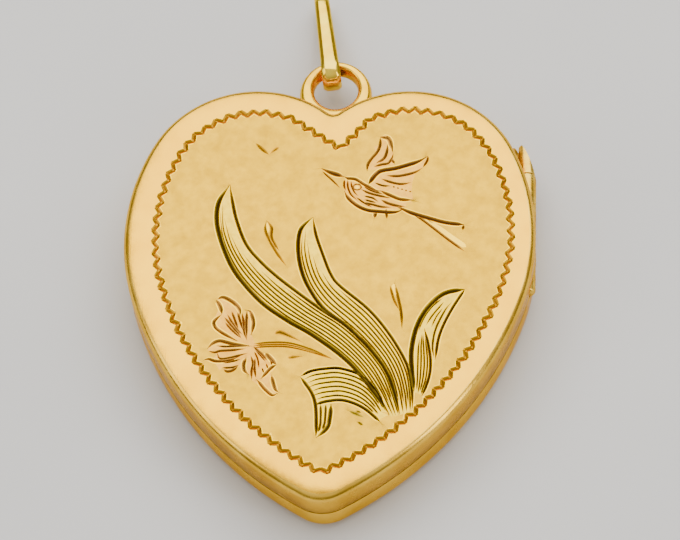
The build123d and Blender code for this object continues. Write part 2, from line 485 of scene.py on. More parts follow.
def cut(points, width=0.10, depth=0.07, group=0, start=0.25, end=0.35, rim=0.0):
    """One engraved line: a V cut that swells from a point over the start share of its length
    and runs out over the end share. A share of 0 leaves that end blunt. A rim is the width of
    the raised burr beside it, which is painted with a highlight."""
    curve = spline(points)
    travelled = [0.0]
    for a, b in zip(curve, curve[1:]):
        travelled.append(travelled[-1] + (b - a).length)
    total = travelled[-1]
    swell = []
    for s in travelled:
        share = s / total
        rise = 1.0 if start == 0 else min(1.0, share / start)
        fall = 1.0 if end == 0 else min(1.0, (1 - share) / end)
        swell.append(max(0.04, sin(pi / 2 * rise) * sin(pi / 2 * fall)))
    LINES.append((
        curve, [width * s for s in swell], [depth * s for s in swell], [rim * s for s in swell], group
    ))


def between(left, right, share, first, last, steps=9):
    """Curve that stays at a share of the way from one curve to another."""
    a, b = spline(left), spline(right)
    points = []
    for i in range(steps):
        t = first + (last - first) * i / (steps - 1)
        p, q = a[round(t * (len(a) - 1))], b[round(t * (len(b) - 1))]
        points.append(p.lerp(q, share))
    return points


def hatch(left, right, spans, width, depth, group, end=0.1):
    """Lines evenly spread between two curves, each over its own span of them."""
    for k, (first, last) in enumerate(spans):
        share = (k + 1) / (len(spans) + 1)
        cut(between(left, right, share, first, last), width, depth, group, 0.2, end)


# Groups of cuts and of the ridges that they enclose; the last group's shallow cuts get a painted
# highlight
PLAIN, LEAF, ROSE, EDGE, PAINTED_HIGHLIGHT = range(5)
RIDGES = []
# Width of the burr beside a deep cut, which gets a painted highlight
RIM = 0.06
CUT_SHOWS = 0.003
RIM_SHOWS = 0.004
BATCH = 400

LEAF_A_LEFT = [
    (-6.13, 6.97), (-6.75, 5.8), (-6.84, 4.5), (-6.51, 3.1), (-5.84, 1.46), (-5.03, 0.24),
    (-3.77, -1.16), (-2.19, -2.33), (-0.85, -3.15), (0.97, -4.54), (2.24, -5.89), (3.69, -7.97),
    (3.95, -8.55),
]
LEAF_A_RIGHT = [
    (-6.13, 6.97), (-5.97, 5.97), (-5.63, 4.52), (-4.99, 2.89), (-4.09, 1.73), (-3.03, 0.69),
    (-1.91, -0.25), (-0.36, -1.47), (1.39, -2.73), (2.86, -4.31), (3.85, -5.89), (4.46, -7.97),
    (4.58, -8.45),
]
LEAF_B_LEFT = [
    (-0.99, 4.73), (-1.69, 3.91), (-1.82, 2.62), (-1.59, 1.2), (-1.07, -0.08), (-0.1, -1.5),
    (1.39, -2.73), (2.86, -4.31), (3.85, -5.89), (4.46, -7.97), (4.58, -8.45),
]
LEAF_B_RIGHT = [
    (-0.99, 4.73), (-0.78, 3.57), (-0.36, 2.31), (0.19, 0.89), (0.79, 0.06), (2.5, -1.46),
    (3.69, -2.94), (4.68, -4.62), (5.12, -5.88), (5.3, -7.53), (5.28, -8.1),
]
LEAF_C_LEFT = [
    (8.29, -0.13), (7.04, -0.44), (6.1, -1.34), (5.47, -2.6), (5.18, -4.1), (5.21, -5.44),
    (5.38, -6.92),
]
LEAF_C_RIGHT = [
    (8.29, -0.13), (7.54, -1.45), (7.02, -2.6), (6.74, -3.57), (6.6, -4.85),
]
LEAF_C_LOBE = [(5.90, -2.72), (6.17, -3.85), (6.32, -4.96), (6.24, -6.0), (5.86, -7.2)]
LEAF_D_TOP = [
    (-1.41, -5.96), (-0.77, -5.6), (0.18, -5.43), (1.01, -5.43), (2.24, -5.89), (3.19, -6.93),
    (3.69, -8.13),
]
LEAF_D_BOTTOM = [(-0.44, -7.78), (0.3, -7.56), (1.25, -7.51), (2.39, -7.98), (3.45, -8.9)]
LEAF_D_FOLD_LEFT = [(-0.44, -7.78), (-0.36, -8.8), (-0.33, -9.96)]
LEAF_D_FOLD_RIGHT = [(0.5, -7.75), (0.45, -8.6), (0.3, -9.3), (-0.33, -9.96)]


def ridge(group, points):
    RIDGES.append((group, [Vector(p) for p in points]))


def engrave_leaf(left, right, spans, left_width, right_width):
    cut(left, left_width, 0.10, LEAF, 0.08, 0.1, RIM)
    cut(right, right_width, 0.08, LEAF, 0.08, 0.1, RIM)
    hatch(left, right, spans, 0.062, 0.058, LEAF, 0.05)
    RIDGES.append((LEAF, spline(left, 0.4) + spline(right, 0.4)[::-1]))


def engrave_folded_leaf():
    """Short leaf on the right, with a rounded lobe in front of its lower half."""
    cut(LEAF_C_LEFT, 0.16, 0.10, LEAF, 0.08, 0.1, RIM)
    cut(LEAF_C_RIGHT, 0.10, 0.08, LEAF, 0.08, 0.15, RIM)
    cut([(7.55, -0.95), (7.14, -1.52), (6.6, -2.75), (6.42, -3.87), (6.52, -4.75)],
        0.07, 0.06, LEAF, 0.3, 0.2)
    cut([(7.0, -0.72), (6.35, -1.3), (5.85, -2.1), (5.56, -3.0)], 0.06, 0.06, LEAF)
    cut([(7.05, -0.98), (6.4, -1.85), (6.0, -2.55)], 0.06, 0.06, LEAF)
    cut([(6.98, -1.4), (6.6, -2.0), (6.32, -2.7)], 0.05, 0.05, LEAF)
    cut(LEAF_C_LOBE, 0.10, 0.08, LEAF, 0.2, 0.1, RIM)
    inner = [(5.72, -2.85), (5.45, -3.9), (5.38, -5.2), (5.45, -6.9)]
    hatch(inner, LEAF_C_LOBE, [(0.16, 0.97), (0.06, 1.0), (0.06, 0.96), (0.12, 1.0)],
          0.056, 0.058, LEAF)
    for right in (LEAF_C_RIGHT, LEAF_C_LOBE):
        RIDGES.append((LEAF, spline(LEAF_C_LEFT, 0.4) + spline(right, 0.4)[::-1]))


def engrave_leaves():
    engrave_leaf(
        LEAF_A_LEFT, LEAF_A_RIGHT,
        [(0.09, 1.0), (0.07, 0.93), (0.12, 1.0), (0.18, 0.95), (0.25, 1.0), (0.33, 0.94),
         (0.42, 1.0)],
        0.16, 0.12,
    )
    engrave_leaf(
        LEAF_B_LEFT, LEAF_B_RIGHT,
        [(0.08, 0.93), (0.06, 1.0), (0.12, 0.95), (0.18, 1.0), (0.26, 0.96), (0.36, 1.0)],
        0.14, 0.11,
    )
    engrave_folded_leaf()
    engrave_leaf(
        LEAF_D_TOP, LEAF_D_BOTTOM,
        [(0.0, 0.96), (0.02, 0.88), (0.0, 0.95), (0.03, 0.86), (0.0, 0.92), (0.03, 0.84)],
        0.10, 0.11,
    )
    cut([(-1.41, -5.96), (-0.72, -6.95), (-0.44, -7.78), (-0.35, -8.9), (-0.33, -9.96)],
        0.12, 0.08, LEAF, 0.15, 0.2, RIM)
    cut(LEAF_D_FOLD_RIGHT, 0.14, 0.08, LEAF, 0.2, 0.3, RIM)
    hatch(LEAF_D_FOLD_LEFT, LEAF_D_FOLD_RIGHT, [(0.0, 0.8), (0.0, 0.72)], 0.08, 0.06, LEAF)
    RIDGES.append((LEAF, spline(LEAF_D_FOLD_LEFT, 0.4) + spline(LEAF_D_FOLD_RIGHT, 0.4)[::-1]))
    cut([(1.55, -8.2), (2.0, -8.4), (2.5, -8.62)], 0.13, 0.05, LEAF, 0.3, 0.6)
    cut([(1.95, -8.18), (2.3, -8.3)], 0.07, 0.04, LEAF)
    cut([(2.05, -8.88), (2.45, -9.12)], 0.09, 0.05, LEAF, 0.5, 0.3)


def engrave_flower():
    def petal(points, width=0.09, start=0.25, end=0.35):
        cut(points, width, 0.06, ROSE, start, end, RIM if width > 0.1 else 0.0)

    # Large petal, upper left
    petal([(-6.62, -0.9), (-6.38, -1.31), (-6.23, -1.85)], 0.13)
    petal([(-6.62, -0.9), (-6.28, -0.72), (-5.87, -0.87), (-5.42, -1.21), (-5.18, -1.6),
           (-5.18, -2.1)], 0.13)
    petal([(-6.09, -2.05), (-5.71, -2.49), (-5.34, -2.93), (-5.02, -3.41)])
    petal([(-5.92, -1.85), (-5.63, -2.34), (-5.26, -2.88), (-4.94, -3.22)], 0.08)
    petal([(-5.66, -1.65), (-5.46, -2.19), (-5.22, -2.85)], 0.08)
    petal([(-5.31, -1.7), (-5.1, -2.39), (-4.87, -3.0)], 0.08)
    petal([(-6.23, -1.85), (-6.69, -2.34), (-6.59, -2.73), (-6.26, -3.03), (-5.81, -3.32),
           (-5.2, -3.65)], 0.11)
    petal([(-6.03, -2.39), (-5.61, -2.88), (-5.01, -3.46)], 0.08)
    # Narrow petal, upwards
    petal([(-5.04, -1.75), (-4.93, -2.29), (-4.88, -2.88), (-4.66, -3.61)], 0.08)
    petal([(-4.74, -1.62), (-4.75, -2.29), (-4.73, -2.97), (-4.68, -3.5)], 0.09)
    petal([(-4.76, -1.62), (-4.56, -1.66), (-4.36, -2.19), (-4.32, -2.58), (-4.41, -3.22)], 0.12)
    # Left petals
    petal([(-7.01, -4.15), (-6.71, -3.81), (-6.33, -3.64), (-5.93, -3.71), (-5.3, -3.88),
           (-4.4, -3.97)], 0.13)
    petal([(-6.49, -3.95), (-6.0, -4.0), (-5.12, -3.97), (-4.5, -3.99)], 0.07)
    petal([(-6.96, -4.29), (-6.56, -4.39), (-6.25, -4.29), (-5.55, -4.24), (-4.72, -4.14)])
    petal([(-6.42, -4.39), (-6.22, -4.8), (-5.62, -4.73), (-4.93, -4.53), (-4.58, -4.43)], 0.08)
    petal([(-7.23, -4.93), (-6.93, -4.83), (-6.57, -4.95), (-6.22, -4.97), (-5.61, -4.87),
           (-5.09, -4.68)], 0.11)
    petal([(-6.04, -5.07), (-5.52, -4.99), (-5.0, -4.84)], 0.07)
    petal([(-6.07, -5.41), (-5.72, -5.4), (-5.37, -5.35), (-5.07, -5.21)], 0.07)
    petal([(-5.98, -5.5), (-5.76, -5.65), (-5.41, -5.55), (-5.12, -5.23)], 0.1)
    # Lower petals
    petal([(-4.65, -4.72), (-4.79, -5.11), (-4.75, -5.54), (-4.48, -5.83)], 0.12)
    petal([(-4.4, -4.58), (-4.24, -5.11), (-4.31, -5.59), (-4.27, -6.22)], 0.08)
    petal([(-4.13, -4.77), (-4.15, -5.35), (-4.03, -6.07)], 0.08)
    petal([(-4.25, -3.99), (-3.97, -4.28), (-3.7, -4.52), (-3.42, -4.91)])
    petal([(-3.53, -4.43), (-3.21, -4.77), (-2.84, -5.2)], 0.14)
    petal([(-2.84, -5.2), (-3.14, -5.39), (-3.39, -5.68), (-3.72, -6.12)], 0.11)
    petal([(-4.2, -4.32), (-3.98, -4.8), (-3.86, -5.45)], 0.06)
    petal([(-4.12, -4.22), (-3.78, -4.62), (-3.5, -4.98)], 0.06)
    for x, y in ((-3.7, -5.38), (-3.46, -5.1), (-3.22, -4.88)):
        petal([(x, y), (x + 0.13, y - 0.36)], 0.05)
    petal([(-3.98, -6.17), (-3.71, -6.5), (-3.43, -6.84), (-3.0, -7.2), (-2.7, -7.05)], 0.11)
    petal([(-3.1, -5.88), (-2.97, -6.45), (-2.82, -6.84), (-2.62, -7.0)], 0.12)
    ridge(ROSE, (
        (-6.62, -0.9), (-6.28, -0.72), (-5.42, -1.21), (-5.18, -2.1), (-4.74, -1.62),
        (-4.36, -2.19), (-4.41, -3.4), (-3.7, -4.4), (-2.84, -5.2), (-3.2, -5.9), (-2.62, -7.0),
        (-3.0, -7.2), (-4.3, -6.2), (-4.75, -5.54), (-5.1, -5.3), (-5.76, -5.65), (-7.23, -4.93),
        (-6.4, -4.6), (-7.01, -4.15), (-6.33, -3.64), (-5.6, -3.6), (-6.69, -2.34),
    ))


def engrave_bird():
    def feather(points, width=0.085, start=0.25, end=0.4, depth=0.06):
        cut(points, width, depth, ROSE, start, end, RIM if width > 0.1 else 0.0)

    # Beak, head and throat
    feather([(-0.62, 8.09), (0.07, 7.77), (0.84, 7.51)], 0.16, 0.6, 0.3, 0.08)
    feather([(-0.52, 7.88), (0.08, 7.3), (0.61, 6.72)], 0.07)
    feather([(0.84, 7.51), (1.06, 7.4), (1.48, 7.35), (1.76, 7.19), (2.05, 6.98), (2.33, 6.82),
             (2.8, 6.56), (3.27, 6.51)], 0.11, 0.1)
    feather([(0.86, 7.3), (0.84, 6.93), (0.94, 6.56)], 0.07)
    feather([(1.06, 7.32), (1.07, 6.82), (1.28, 6.29), (1.71, 5.87)], 0.07)
    feather([(1.25, 7.22), (1.31, 6.82), (1.51, 6.4), (1.74, 6.19)], 0.06)
    eye = [(1.64 + 0.25 * cos(t * pi / 4), 6.8 + 0.2 * sin(t * pi / 4)) for t in range(9)]
    feather(eye, 0.05, 0, 0, 0.035)
    # Painted highlight in the eye
    cut([(1.5, 6.8), (1.78, 6.8)], 0.12, 0.02, PAINTED_HIGHLIGHT, 0.4, 0.4)
    # Belly, back and the lines along the body
    feather([(0.87, 6.51), (1.09, 6.08), (1.43, 5.72), (1.86, 5.4), (2.37, 5.19), (3.07, 5.11),
             (3.77, 5.06), (4.23, 5.14), (4.53, 5.38)], 0.13, 0.15, 0.25, 0.08)
    feather([(1.87, 6.66), (2.34, 6.4), (3.05, 6.19), (3.75, 6.03)])
    feather([(2.07, 6.19), (2.63, 6.03), (2.96, 5.77)], 0.07)
    feather([(2.05, 6.82), (2.62, 6.51), (3.28, 6.3)], 0.07)
    feather([(2.12, 5.93), (2.83, 5.72)], 0.07)
    feather([(1.94, 5.74), (2.55, 5.61), (3.11, 5.45), (3.76, 5.4)])
    feather([(1.6, 6.1), (2.1, 5.7), (2.6, 5.4)], 0.06)
    # Near wing
    feather([(2.33, 6.98), (2.6, 7.46), (2.91, 7.83), (3.24, 7.96), (3.93, 8.09), (4.63, 8.31),
             (5.32, 8.57), (5.92, 8.94)], 0.15, 0.1, 0.3, 0.09)
    feather([(5.92, 8.94), (5.86, 8.6), (5.61, 8.15)], 0.08)
    feather([(3.39, 7.59), (4.09, 7.56), (4.78, 7.7), (5.24, 7.88), (5.61, 8.15)], 0.1)
    feather([(3.09, 7.38), (3.53, 7.19), (4.1, 7.03), (4.56, 7.03), (4.93, 7.14)], 0.09)
    feather([(2.7, 7.1), (3.2, 6.9), (3.7, 6.88)], 0.07)
    for i in range(5):
        feather([(3.8 + 0.25 * i, 6.84 - 0.08 * i), (3.95 + 0.25 * i, 6.78 - 0.08 * i)], 0.06)
    feather([(3.1, 6.5), (3.74, 6.19), (4.31, 5.95), (5.08, 5.9)], 0.12, 0.2, 0.3)
    feather([(3.1, 5.93), (3.57, 5.67), (4.13, 5.51), (4.6, 5.46)], 0.1)
    # Far wing
    feather([(2.21, 7.88), (2.25, 8.36), (2.47, 8.78), (2.79, 9.21), (2.96, 9.69), (2.97, 10.28)],
            0.1, 0.2, 0.2)
    feather([(2.97, 10.28), (3.46, 10.17), (3.67, 9.58), (3.77, 9.16)], 0.15, 0.2, 0.5)
    feather([(2.76, 8.46), (3.22, 8.78), (3.39, 9.26), (3.43, 9.8)], 0.1)
    feather([(2.62, 8.2), (3.08, 8.36), (3.5, 8.46), (3.74, 8.9), (3.77, 9.16)], 0.09)
    feather([(3.68, 8.78), (3.88, 8.41)], 0.09)
    # Tail and feet
    feather([(3.97, 5.54), (4.91, 5.05), (6.15, 4.63), (7.08, 4.36), (8.16, 4.22)], 0.14, 0.3, 0.1, 0.08)
    feather([(4.53, 5.2), (5.4, 4.74), (6.2, 4.1), (7.2, 3.25), (8.25, 2.4)], 0.09, 0.3, 0.15)
    # Painted highlight along the tail
    cut([(5.4, 4.82), (6.4, 4.18), (7.4, 3.4), (8.32, 2.7)], 0.15, 0.035, PAINTED_HIGHLIGHT, 0.5, 0.06)
    feather([(8.16, 4.22), (8.1, 3.85)], 0.09)
    feather([(2.8, 5.09), (2.76, 4.68)], 0.12)
    feather([(3.44, 5.3), (3.5, 4.62)], 0.09)
    ridge(ROSE, (
        (2.33, 6.98), (2.91, 7.83), (3.93, 8.09), (5.92, 8.94), (5.61, 8.15), (4.93, 7.14),
        (5.08, 5.9), (4.53, 5.38), (3.07, 5.11), (1.43, 5.72), (0.87, 6.51), (0.84, 7.51),
        (1.48, 7.35),
    ))
    ridge(ROSE, (
        (2.21, 7.88), (2.47, 8.78), (2.97, 10.28), (3.46, 10.17), (3.77, 9.16), (3.88, 8.41),
    ))


def engrave_details():
    # Buds, with painted highlights at their heads
    cut([(-3.8, 4.5), (-3.86, 3.9), (-3.62, 3.25), (-3.1, 2.3), (-2.44, 1.33)], 0.1, 0.06, PLAIN)
    cut([(-3.8, 4.5), (-3.48, 4.0), (-3.45, 3.3), (-2.95, 2.4)], 0.1, 0.06, PLAIN)
    cut([(-3.78, 4.36), (-3.68, 3.6)], 0.14, 0.03, PAINTED_HIGHLIGHT, 0.2, 0.8)
    cut([(4.06, 0.27), (4.25, -0.5), (4.5, -1.7), (4.58, -2.83)], 0.1, 0.06, PLAIN)
    cut([(4.0, 0.22), (4.14, -0.6)], 0.13, 0.03, PAINTED_HIGHLIGHT, 0.2, 0.8)
    cut([(3.8, 0.1), (4.0, -0.7), (4.35, -1.5)], 0.08, 0.05, PLAIN)
    # Mark in the left lobe
    cut([(-4.69, 9.85), (-3.84, 9.05)], 0.12, 0.06, PLAIN, 0.4, 0.4)
    cut([(-3.84, 9.05), (-3.6, 9.3), (-3.21, 9.6)], 0.15, 0.06, PLAIN, 0.7, 0.2)
    # Stem and the short leaves on it
    for lift in (-0.13, 0.0, 0.12):
        cut([(-4.3, -3.95 + lift), (-3.3, -3.85 + lift), (-2.14, -3.88 + lift),
             (-0.81, -4.25 + lift * 0.6), (0.6, -4.85)], 0.075, 0.05, PLAIN, 0.15, 0.3)
    cut([(-3.05, -3.2), (-2.74, -3.03), (-1.9, -3.4), (-1.28, -3.75)], 0.19, 0.07, PLAIN, 0.12, 0.8)
    cut([(-2.22, -4.72), (-1.25, -4.62)], 0.17, 0.06, PLAIN, 0.1, 0.8)


def zigzag_path():
    """Centre line of the zigzag: the outline moved in, less on the right, with straight sides
    down to a corner below the cleft."""
    outer = heart_ring(0.0)
    path = heart_ring(1.72 - 0.0195 * outer[:, 0])
    away = (np.abs(path[:, 0]) > 2.3) | (path[:, 1] < 5)
    kept = [Vector(p) for p, far in zip(path, away) if far]
    right = [p for p in kept if p.x >= 0]
    left = [p for p in kept if p.x < 0]
    return right + [Vector(ZIGZAG_CORNER)] + left


def engrave_zigzag():
    """Wriggle-cut border: one straight cut after another, in and out, with pointed corners."""
    path = zigzag_path()
    path.append(path[0])
    travelled = [0.0]
    for a, b in zip(path, path[1:]):
        travelled.append(travelled[-1] + (b - a).length)
    count = 2 * round(travelled[-1] / ZIGZAG_PITCH)
    dice = Random(11)
    corners = []
    piece = 0
    for k in range(count):
        goal = travelled[-1] * k / count
        while travelled[piece + 1] < goal:
            piece += 1
        share = (goal - travelled[piece]) / (travelled[piece + 1] - travelled[piece])
        ahead = path[piece + 1] - path[piece]
        normal = Vector((ahead.y, -ahead.x)).normalized()
        reach = ZIGZAG_REACH + dice.uniform(-0.03, 0.03)
        centre = path[piece].lerp(path[piece + 1], share)
        corners.append(centre + normal * (reach if k % 2 else -reach))
    for a, b in zip(corners, corners[1:] + corners[:1]):
        swell = dice.uniform(0.9, 1.1)
        stations = [a.lerp(b, t) for t in (-0.22, 0.06, 0.5, 0.94, 1.22)]
        # Each cut has a burr that gets a painted highlight
        LINES.append((
            stations, [w * swell for w in (0.02, 0.14, 0.155, 0.14, 0.02)],
            [0.02, 0.075, 0.085, 0.075, 0.02], [0.0, 0.04, 0.04, 0.04, 0.0], EDGE,
        ))


def sides_of(curve, widths):
    """Left and right edge points of a cut."""
    left, right = [], []
    for i, (point, width) in enumerate(zip(curve, widths)):
        ahead = curve[min(i + 1, len(curve) - 1)] - curve[max(i - 1, 0)]
        across = Vector((-ahead.y, ahead.x)).normalized() * width
        left.append(point + across)
        right.append(point - across)
    return left, right


def cut_segments():
    """Every piece of every cut as one row: ends, half-widths, depths, group and rim."""
    rows = []
    for curve, widths, depths, rims, group in LINES:
        for i in range(len(curve) - 1):
            a, b = curve[i], curve[i + 1]
            rows.append((
                a.x, a.y, b.x, b.y, widths[i], widths[i + 1], depths[i], depths[i + 1], group,
                (rims[i] + rims[i + 1]) / 2,
            ))
    return np.array(rows)


def depth_and_group(points, rows):
    """Depth of the engraving at each point, the group of the cut that is deepest there, and
    how far up a burr the point is, from 0 to 1."""
    depth = np.zeros(len(points))
    burr = np.zeros(len(points))
    group = np.full(len(points), -1)
    a, b = rows[:, 0:2], rows[:, 2:4]
    line = b - a
    length2 = np.maximum((line**2).sum(1), 1e-9)
    for start in range(0, len(points), BATCH):
        p = points[start:start + BATCH, None, :]
        t = np.clip(((p - a) * line).sum(2) / length2, 0, 1)
        gap = np.hypot(p[:, :, 0] - a[:, 0] - t * line[:, 0], p[:, :, 1] - a[:, 1] - t * line[:, 1])
        width = rows[:, 4] + (rows[:, 5] - rows[:, 4]) * t
        deep = rows[:, 6] + (rows[:, 7] - rows[:, 6]) * t
        found = deep * (1 - gap / width)
        best = found.argmax(1)
        value = found[np.arange(len(best)), best]
        depth[start:start + BATCH] = np.maximum(value, 0)
        group[start:start + BATCH] = np.where(value > CUT_SHOWS, rows[best, 8], -1)
        rim = rows[:, 9]
        lip = np.where(rim > RIM_SHOWS, 1 - np.abs(gap - width) / np.maximum(rim, 1e-6), 0)
        burr[start:start + BATCH] = np.where(value < 1e-4, np.clip(lip.max(1), 0, 1), 0)
    return depth, group.astype(int), burr


def inside(points, outline):
    """Which points lie inside a closed outline."""
    x, y = points[:, 0], points[:, 1]
    odd = np.zeros(len(points), bool)
    for a, b in zip(outline, outline[1:] + outline[:1]):
        if a.y == b.y:
            continue
        crosses = ((a.y > y) != (b.y > y)) & (x < (b.x - a.x) * (y - a.y) / (b.y - a.y) + a.x)
        odd ^= crosses
    return odd


def engraved_top(rows):
    """Triangles of the front inside the shoulder, following the edge and floor of every cut."""
    verts = [Vector(p) for p in heart_ring(TOP_EDGE_INSET)]
    edges = [(i, (i + 1) % len(verts)) for i in range(len(verts))]
    for curve, widths, _, rims, _ in LINES:
        left, right = sides_of(curve, widths)
        chains = [left, curve, right]
        if max(rims) > 0:
            chains = [*sides_of(curve, [w + r for w, r in zip(widths, rims)]), *chains]
        for chain in chains:
            first = len(verts)
            verts += chain
            edges += [(first + i, first + i + 1) for i in range(len(chain) - 1)]
        first = len(verts) - 3 * len(curve)
        edges.append((first, first + 2 * len(curve)))
        edges.append((first + len(curve) - 1, first + 3 * len(curve) - 1))
    for inset in (0.55, 0.75, 0.95, 1.15, 1.35):
        verts += [Vector(p) for p in heart_ring(inset)[::2]]
    grid = np.array([(x, y) for x in np.arange(-11, 11.1, 0.8) for y in np.arange(-12, 14, 0.8)])
    depth, _, _ = depth_and_group(grid, rows)
    kept = grid[(inset_at(grid) > 2.2) & (np.abs(grid[:, 1]) < 14) & (depth == 0)]
    kept = kept[inside(kept, [Vector(p) for p in heart_ring(2.2)])]
    verts += [Vector(p) for p in kept]
    made = geometry.delaunay_2d_cdt(verts, edges, [], 1, 1e-5)
    return np.array([tuple(v) for v in made[0]]), [tuple(f) for f in made[2]]


# ---------------------------------------------------------------- pieces

def knuckles():
    """Side, start and length of the five knuckles, from the bottom."""
    return [
        ("back" if i % 2 == 0 else "front", HINGE_BOTTOM + i * KNUCKLE_PITCH + KNUCKLE_GAP / 2,
         KNUCKLE_PITCH - KNUCKLE_GAP)
        for i in range(5)
    ]


def cut_hinge_beds(shell, own):
    """Beds for the knuckles, and the bevel outside the pin that lets the locket open."""
    section = []
    for side, start, length in knuckles():
        snug = side == own
        radius = TUBE if snug else TUBE + TUBE_CLEARANCE
        reach = 0 if snug else KNUCKLE_GAP / 2
        section.append((start - KNUCKLE_GAP / 2 - reach, radius))
        section.append((start + length + KNUCKLE_GAP / 2 + reach, radius))
    carve(shell, lathe("beds", section, bored=False))
    up = 1 if own == "front" else -1
    rise = tan(radians(OPENING_BEVEL))
    outline = [
        (HINGE_X, SEAM), (HINGE_X, SEAM - 0.3 * up), (HINGE_X + 1, SEAM - 0.3 * up),
        (HINGE_X + 1, SEAM + rise * up),
    ]
    carve(shell, prism("relief", outline, -0.6, 10.75, axis="y"))


def front_profile():
    """Outside, underside and inside of the front shell's wall, from its shoulder's top."""
    shoulder = []
    for i in range(11):
        turn = radians(SHOULDER_TURN * (10 - i) / 10)
        shoulder.append((SHOULDER * (1 - cos(turn)), SHOULDER_CENTRE_Z + SHOULDER * sin(turn)))
    bottom = SEAM + SEAM_GAP
    return shoulder + [
        (0, bottom + EDGE_WEAR), (EDGE_WEAR * 0.3, bottom + EDGE_WEAR * 0.3), (EDGE_WEAR, bottom),
        (WALL - EDGE_WEAR, bottom), (WALL, bottom + EDGE_WEAR), (WALL, CEILING),
    ]


FRONT_FINISHES = [
    SATIN, POLISHED, SIDE, LEAF_RIDGE, ROSE_RIDGE, PLAIN_CUT, LEAF_CUT, ROSE_CUT, EDGE_CUT,
    INNER_GOLD, HIGHLIGHT_GOLD, SEAM_SHADE,
]
CUT_FINISHES = {
    PLAIN: PLAIN_CUT, LEAF: LEAF_CUT, ROSE: ROSE_CUT, EDGE: EDGE_CUT, PAINTED_HIGHLIGHT: HIGHLIGHT_GOLD,
}


def front_paint(mesh, rows):
    """Number of the material for every face of the front shell, from where the face is."""
    number = FRONT_FINISHES.index
    centres = np.array([tuple(p.center) for p in mesh.polygons])
    flat = centres[:, :2]
    insets = inset_at(flat)
    _, group, burr = depth_and_group(flat, rows)
    on_top = (centres[:, 2] > TOP_FACES_ABOVE) & (insets > TOP_EDGE_INSET)
    within = inside(flat, zigzag_path())
    choice = np.full(len(centres), number(SIDE))
    choice[on_top] = number(POLISHED)
    choice[on_top & within] = number(SATIN)
    for kind, outline in RIDGES:
        ridge = LEAF_RIDGE if kind == LEAF else ROSE_RIDGE
        choice[on_top & inside(flat, outline)] = number(ridge)
    # Burrs beside the cuts get a painted highlight
    choice[on_top & (burr > BURR_SHOWS)] = number(HIGHLIGHT_GOLD)
    for kind, finish in CUT_FINISHES.items():
        choice[on_top & (group == kind)] = number(finish)
    on_wall = insets < WALL - FACE_MARGIN
    inner = (insets > WALL - FACE_MARGIN) & (centres[:, 2] < CEILING + FACE_MARGIN)
    choice[inner] = number(INNER_GOLD)
    choice[on_wall & (centres[:, 2] < SEAM + SEAM_GAP + EDGE_WEAR)] = number(SEAM_SHADE)
    return choice.astype(np.int32)


def build_front_cover():
    engrave_leaves()
    engrave_flower()
    engrave_bird()
    engrave_details()
    engrave_zigzag()
    rows = cut_segments()
    flat, triangles = engraved_top(rows)
    depth, _, burr = depth_and_group(flat, rows)
    height = top_height(inset_at(flat)) - depth + BURR_HEIGHT * burr
    rings = heart_rings(front_profile())
    count = len(rings[0])
    walls = sum(rings, [])
    faces = stitch(rings, closed=False)
    faces.append(tuple(range(len(walls) - count, len(walls))))
    base = len(walls)
    top = [(x, y, z) for (x, y), z in zip(flat, height)]
    for i in range(count):
        top[i] = walls[i]
    faces += [tuple(base + i for i in triangle) for triangle in triangles]
    shell = mesh_object("front_shell", walls + top, faces)
    weld = shell.modifiers.new("weld", "WELD")
    weld.merge_threshold = 0.0015
    bpy.context.view_layer.update()
    freeze(shell)
    outward(shell)
    cut_hinge_beds(shell, "front")
    paint = front_paint(shell.data, rows)
    finish_piece(
        shell, "front", ["front_cover"], FRONT_FINISHES, sharp=24, paint=paint
    )


BACK_FINISHES = [SIDE, INNER_GOLD, SEAM_SHADE]


def back_paint(mesh):
    """Number of the material for every face of the back shell, from where the face is."""
    centres = np.array([tuple(p.center) for p in mesh.polygons])
    insets, z = inset_at(centres[:, :2]), centres[:, 2]
    choice = np.full(len(centres), BACK_FINISHES.index(SIDE))
    inner = (insets > WALL - FACE_MARGIN) & (z > CAVITY_FACES_ABOVE)
    rim = (insets < WALL - FACE_MARGIN) & (z > SEAM - EDGE_WEAR)
    choice[inner] = BACK_FINISHES.index(INNER_GOLD)
    choice[rim] = BACK_FINISHES.index(SEAM_SHADE)
    return choice.astype(np.int32)


def bearer_block():
    """Block inside the back shell's wall that carries the hinge's upper end."""
    left = 10.2
    outline = [(left, BEARER_BOTTOM_Y), (HINGE_X, BEARER_BOTTOM_Y)]
    outline += [tuple(LOBE + polar(7.6, angle)) for angle in (18, 22, 26, 30)]
    outline += [(11.18, BEARER_TOP_Y), (left, BEARER_TOP_Y)]
    return prism("bearer", outline, SEAM - 0.9, SEAM - 0.001)


def build_back_cover():
    """Pan with a round bottom edge, its cavity, and the bearer under the hinge's top end."""
    outer = [(EDGE_WEAR, SEAM), (EDGE_WEAR * 0.3, SEAM - EDGE_WEAR * 0.3), (0, SEAM - EDGE_WEAR)]
    for i in range(13):
        turn = pi / 2 * i / 12
        outer.append((BACK_ROUND * (1 - cos(turn)), BACK_ROUND * (1 - sin(turn))))
    inner = []
    for i in range(9):
        turn = pi / 2 * (8 - i) / 8
        inner.append((BACK_ROUND - 0.5 * cos(turn), BACK_ROUND - 0.5 * sin(turn)))
    inner += [(WALL, SEAM - EDGE_WEAR), (WALL - EDGE_WEAR, SEAM)]
    rings = heart_rings(outer + inner)
    count = len(rings[0])
    split = len(outer)
    faces = [f for f in stitch(rings, closed=True)
             if not (split - 1) * count <= f[0] < split * count]
    faces.append(tuple(range((split - 1) * count, split * count)))
    faces.append(tuple(reversed(range(split * count, (split + 1) * count))))
    shell = mesh_object("back_shell", sum(rings, []), faces)
    outward(shell)
    carve(shell, bearer_block(), "UNION")
    cut_hinge_beds(shell, "back")
    finish_piece(
        shell, "back", ["back_cover"], BACK_FINISHES, paint=back_paint(shell.data)
    )


